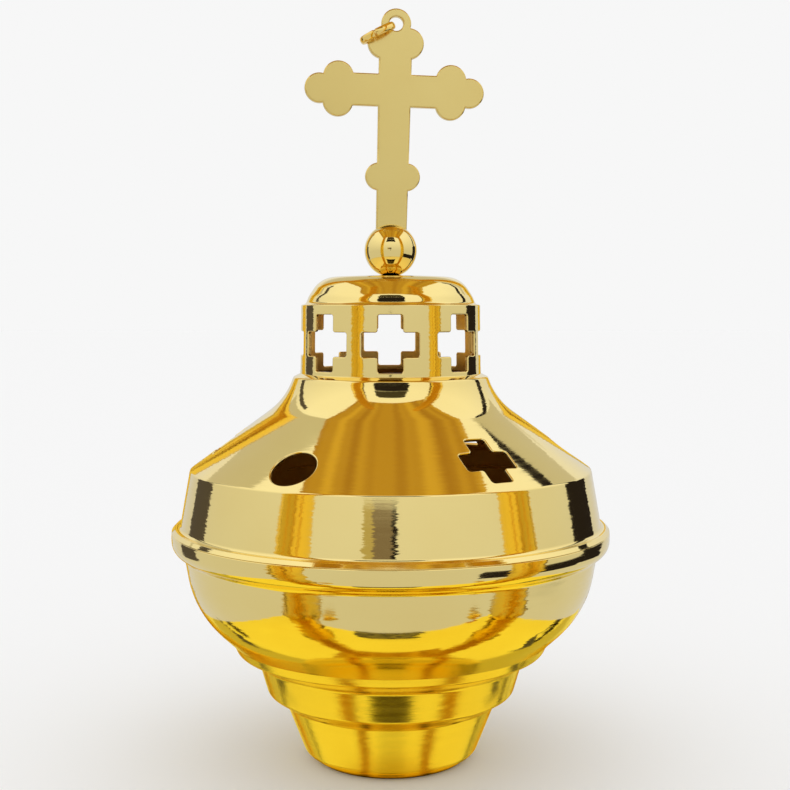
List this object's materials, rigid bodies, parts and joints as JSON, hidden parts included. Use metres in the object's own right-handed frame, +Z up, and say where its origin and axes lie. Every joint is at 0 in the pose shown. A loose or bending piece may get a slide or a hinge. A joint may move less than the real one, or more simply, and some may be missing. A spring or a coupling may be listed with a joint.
{
  "type": "standing censer",
  "caption": "Small standing incense burner: stepped spun bowl, lift-out coal cup, pierced lift-off lid with a drum of cross windows, ball and flat budded cross with a jump ring.",
  "frame": {"origin": "centre of the foot's underside, on the surface the censer stands on", "axes": "+Z up along the axis the bowl and lid are turned about; -Y is the front; +X is to the right seen from the front"},
  "size_m": [0.109, 0.109, 0.1863],
  "materials": {
    "shell": "mirror polished and lacquered",
    "finial": "polished flat sheet",
    "wire": "polished wire",
    "inner": "dull, darkened by heat and smoke"
  },
  "bodies": {
    "bowl": {"bowl": "shell"},
    "coal_cup": {"coal_cup": "inner"},
    "lid": {"lid": "shell", "locating_ring": "inner", "ball": "shell", "cross": "finial", "stud": "inner", "washer": "inner", "nut": "inner"},
    "jump_ring": {"jump_ring": "wire"}
  },
  "joints": [
    {"name": "lid_lift", "type": "slide", "parent": "bowl", "child": "lid", "axis": [0, 0, 1], "range_m": [0, 0.12]},
    {"name": "coal_cup_lift", "type": "slide", "parent": "bowl", "child": "coal_cup", "axis": [0, 0, 1], "range_m": [0, 0.06]},
    {"name": "jump_ring_swing", "type": "hinge", "parent": "lid", "child": "jump_ring", "pos_m": [0.00135, 0.00012, 0.18265], "axis": [-0.0872, 0.9962, 0], "range_deg": [0, 240]}
  ],
  "couplings": [
    {"joint": "coal_cup_lift", "follows": "lid_lift", "ratio": 0.5}
  ]
}
